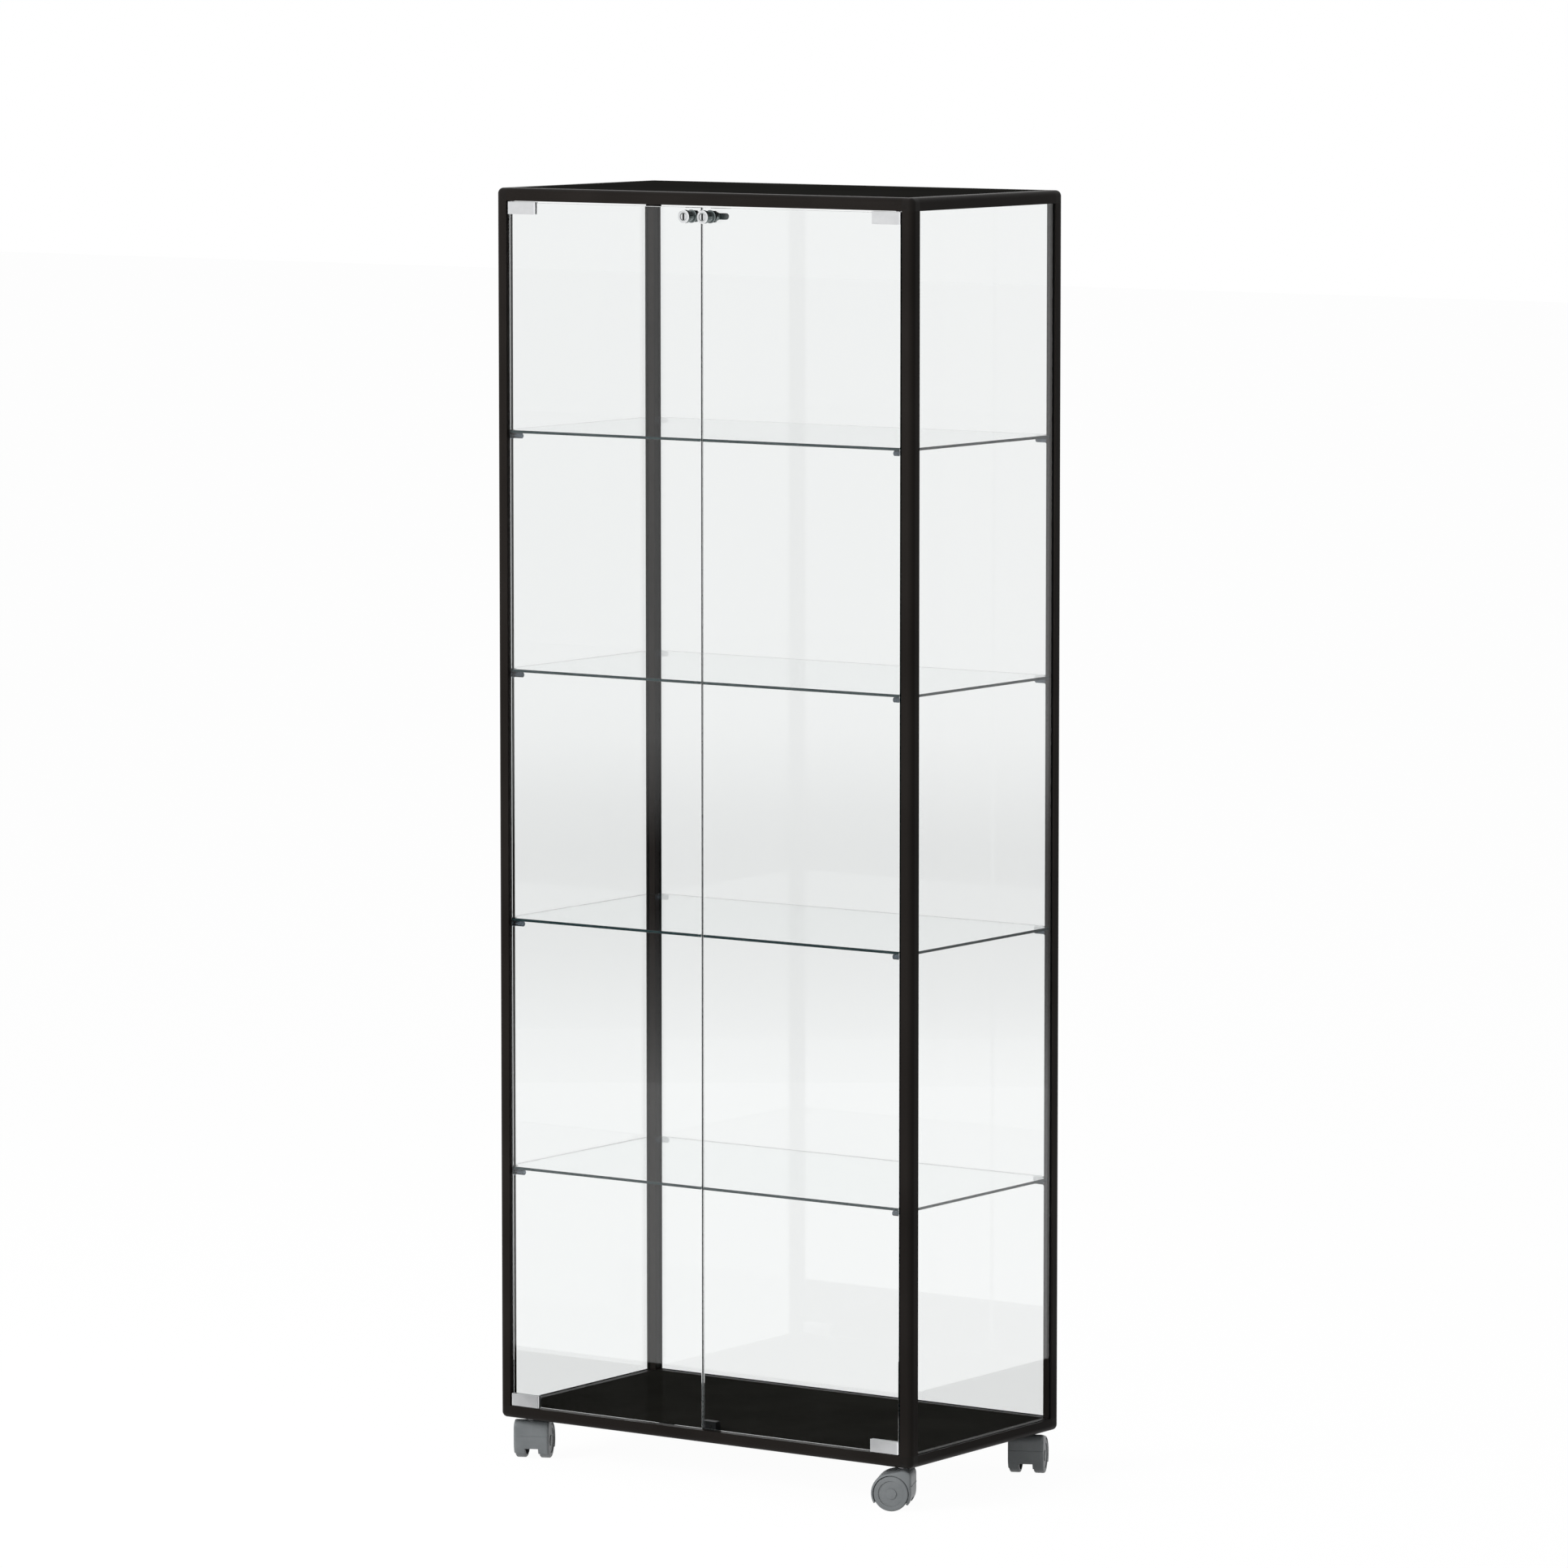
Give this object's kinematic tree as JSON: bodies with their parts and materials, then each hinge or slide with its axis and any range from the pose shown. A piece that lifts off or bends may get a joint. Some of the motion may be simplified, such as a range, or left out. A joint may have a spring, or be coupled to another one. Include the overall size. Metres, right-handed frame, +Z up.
{
  "type": "glass display cabinet",
  "caption": "Tall glazed display cabinet on twin-wheel castors, with a black aluminium frame, glass shelves and a pair of locking pivot-hung glass doors.",
  "frame": {"origin": "on the floor, below the centre of the rectangular frame", "axes": "+Z up, +X to the right of someone facing the doors, the doors face -Y"},
  "size_m": [0.7198, 0.4114, 1.823],
  "materials": {
    "black_frame": "satin black anodised extrusion",
    "black_corner": "satin black moulded corner",
    "black_panel": "gloss black laminated board",
    "clear_glass": "clear float glass",
    "shelf_glass": "clear float glass with dark green edge",
    "door_glass": "clear float glass",
    "black_seal": "black glazing gasket",
    "clear_pin": "clear grey plastic",
    "satin_hinge": "satin silver",
    "lock_metal": "satin nickel plated",
    "lock_plug": "bright nickel plated",
    "bush_plastic": "black nylon",
    "stop_plastic": "dark grey plastic",
    "bumper_rubber": "black rubber",
    "grey_castor": "grey moulded nylon",
    "grey_wheel": "grey moulded nylon tread",
    "steel": "zinc plated steel"
  },
  "bodies": {
    "frame": {"front_left_post": "black_frame", "front_right_post": "black_frame", "rear_left_post": "black_frame", "rear_right_post": "black_frame", "front_bottom_rail": "black_frame", "rear_bottom_rail": "black_frame", "left_bottom_rail": "black_frame", "right_bottom_rail": "black_frame", "front_top_rail": "black_frame", "rear_top_rail": "black_frame", "left_top_rail": "black_frame", "right_top_rail": "black_frame", "front_top_ledge": "black_frame", "corner_connectors": "black_corner", "top_panel": "black_panel", "base_panel": "black_panel", "left_side_glass": "clear_glass", "right_side_glass": "clear_glass", "rear_glass": "clear_glass", "glazing_seals": "black_seal", "shelf_1": "shelf_glass", "shelf_pins_1": "clear_pin", "shelf_2": "shelf_glass", "shelf_pins_2": "clear_pin", "shelf_3": "shelf_glass", "shelf_pins_3": "clear_pin", "shelf_4": "shelf_glass", "shelf_pins_4": "clear_pin", "pivot_bushes": "bush_plastic", "door_stop": "stop_plastic", "stop_bumpers": "bumper_rubber", "castor_stems": "steel", "insert_nuts": "steel"},
    "left_door": {"left_door_glass": "door_glass", "left_hinge_bottom": "satin_hinge", "left_hinge_top": "satin_hinge", "left_lock_body": "lock_metal"},
    "left_lock": {"left_lock_cam": "lock_plug"},
    "right_door": {"right_door_glass": "door_glass", "right_hinge_bottom": "satin_hinge", "right_hinge_top": "satin_hinge", "right_lock_body": "lock_metal"},
    "right_lock": {"right_lock_cam": "lock_plug"},
    "front_left_swivel": {"castor_hood_front_left": "grey_castor", "castor_axle_front_left": "steel"},
    "front_left_wheel_a": {"castor_wheel_a_front_left": "grey_wheel"},
    "front_left_wheel_b": {"castor_wheel_b_front_left": "grey_wheel"},
    "front_right_swivel": {"castor_hood_front_right": "grey_castor", "castor_axle_front_right": "steel"},
    "front_right_wheel_a": {"castor_wheel_a_front_right": "grey_wheel"},
    "front_right_wheel_b": {"castor_wheel_b_front_right": "grey_wheel"},
    "rear_left_swivel": {"castor_hood_rear_left": "grey_castor", "castor_axle_rear_left": "steel"},
    "rear_left_wheel_a": {"castor_wheel_a_rear_left": "grey_wheel"},
    "rear_left_wheel_b": {"castor_wheel_b_rear_left": "grey_wheel"},
    "rear_right_swivel": {"castor_hood_rear_right": "grey_castor", "castor_axle_rear_right": "steel"},
    "rear_right_wheel_a": {"castor_wheel_a_rear_right": "grey_wheel"},
    "rear_right_wheel_b": {"castor_wheel_b_rear_right": "grey_wheel"}
  },
  "joints": [
    {"name": "left_door_hinge", "type": "hinge", "parent": "frame", "child": "left_door", "pos_m": [-0.33, -0.184, 0.081], "axis": [0, 0, -1], "range_deg": [0, 105]},
    {"name": "left_lock_turn", "type": "hinge", "parent": "left_door", "child": "left_lock", "pos_m": [-0.016, -0.184, 1.7902], "axis": [0, 1, 0], "range_deg": [0, 90]},
    {"name": "right_door_hinge", "type": "hinge", "parent": "frame", "child": "right_door", "pos_m": [0.33, -0.184, 0.081], "axis": [0, 0, 1], "range_deg": [0, 105]},
    {"name": "right_lock_turn", "type": "hinge", "parent": "right_door", "child": "right_lock", "pos_m": [0.016, -0.184, 1.7902], "axis": [0, -1, 0], "range_deg": [0, 90]},
    {"name": "front_left_swivel_turn", "type": "hinge", "parent": "frame", "child": "front_left_swivel", "pos_m": [-0.3225, -0.155, 0.058], "axis": [0, 0, 1], "continuous": true},
    {"name": "front_left_wheel_a_roll", "type": "hinge", "parent": "front_left_swivel", "child": "front_left_wheel_a", "pos_m": [-0.3448, -0.14919, 0.025], "axis": [0.8988, 0.4384, 0], "continuous": true},
    {"name": "front_left_wheel_b_roll", "type": "hinge", "parent": "front_left_swivel", "child": "front_left_wheel_b", "pos_m": [-0.31335, -0.13385, 0.025], "axis": [0.8988, 0.4384, 0], "continuous": true},
    {"name": "front_right_swivel_turn", "type": "hinge", "parent": "frame", "child": "front_right_swivel", "pos_m": [0.3225, -0.155, 0.058], "axis": [0, 0, 1], "continuous": true},
    {"name": "front_right_wheel_a_roll", "type": "hinge", "parent": "front_right_swivel", "child": "front_right_wheel_a", "pos_m": [0.3163, -0.1772, 0.025], "axis": [-0.4226, 0.9063, 0], "continuous": true},
    {"name": "front_right_wheel_b_roll", "type": "hinge", "parent": "front_right_swivel", "child": "front_right_wheel_b", "pos_m": [0.30151, -0.14548, 0.025], "axis": [-0.4226, 0.9063, 0], "continuous": true},
    {"name": "rear_left_swivel_turn", "type": "hinge", "parent": "frame", "child": "rear_left_swivel", "pos_m": [-0.3225, 0.155, 0.058], "axis": [0, 0, 1], "continuous": true},
    {"name": "rear_left_wheel_a_roll", "type": "hinge", "parent": "rear_left_swivel", "child": "rear_left_wheel_a", "pos_m": [-0.3449, 0.16042, 0.025], "axis": [0.891, 0.454, 0], "continuous": true},
    {"name": "rear_left_wheel_b_roll", "type": "hinge", "parent": "rear_left_swivel", "child": "rear_left_wheel_b", "pos_m": [-0.31372, 0.17631, 0.025], "axis": [0.891, 0.454, 0], "continuous": true},
    {"name": "rear_right_swivel_turn", "type": "hinge", "parent": "frame", "child": "rear_right_swivel", "pos_m": [0.3225, 0.155, 0.058], "axis": [0, 0, 1], "continuous": true},
    {"name": "rear_right_wheel_a_roll", "type": "hinge", "parent": "rear_right_swivel", "child": "rear_right_wheel_a", "pos_m": [0.3003, 0.1612, 0.025], "axis": [0.9063, 0.4226, 0], "continuous": true},
    {"name": "rear_right_wheel_b_roll", "type": "hinge", "parent": "rear_right_swivel", "child": "rear_right_wheel_b", "pos_m": [0.33202, 0.17599, 0.025], "axis": [0.9063, 0.4226, 0], "continuous": true}
  ]
}
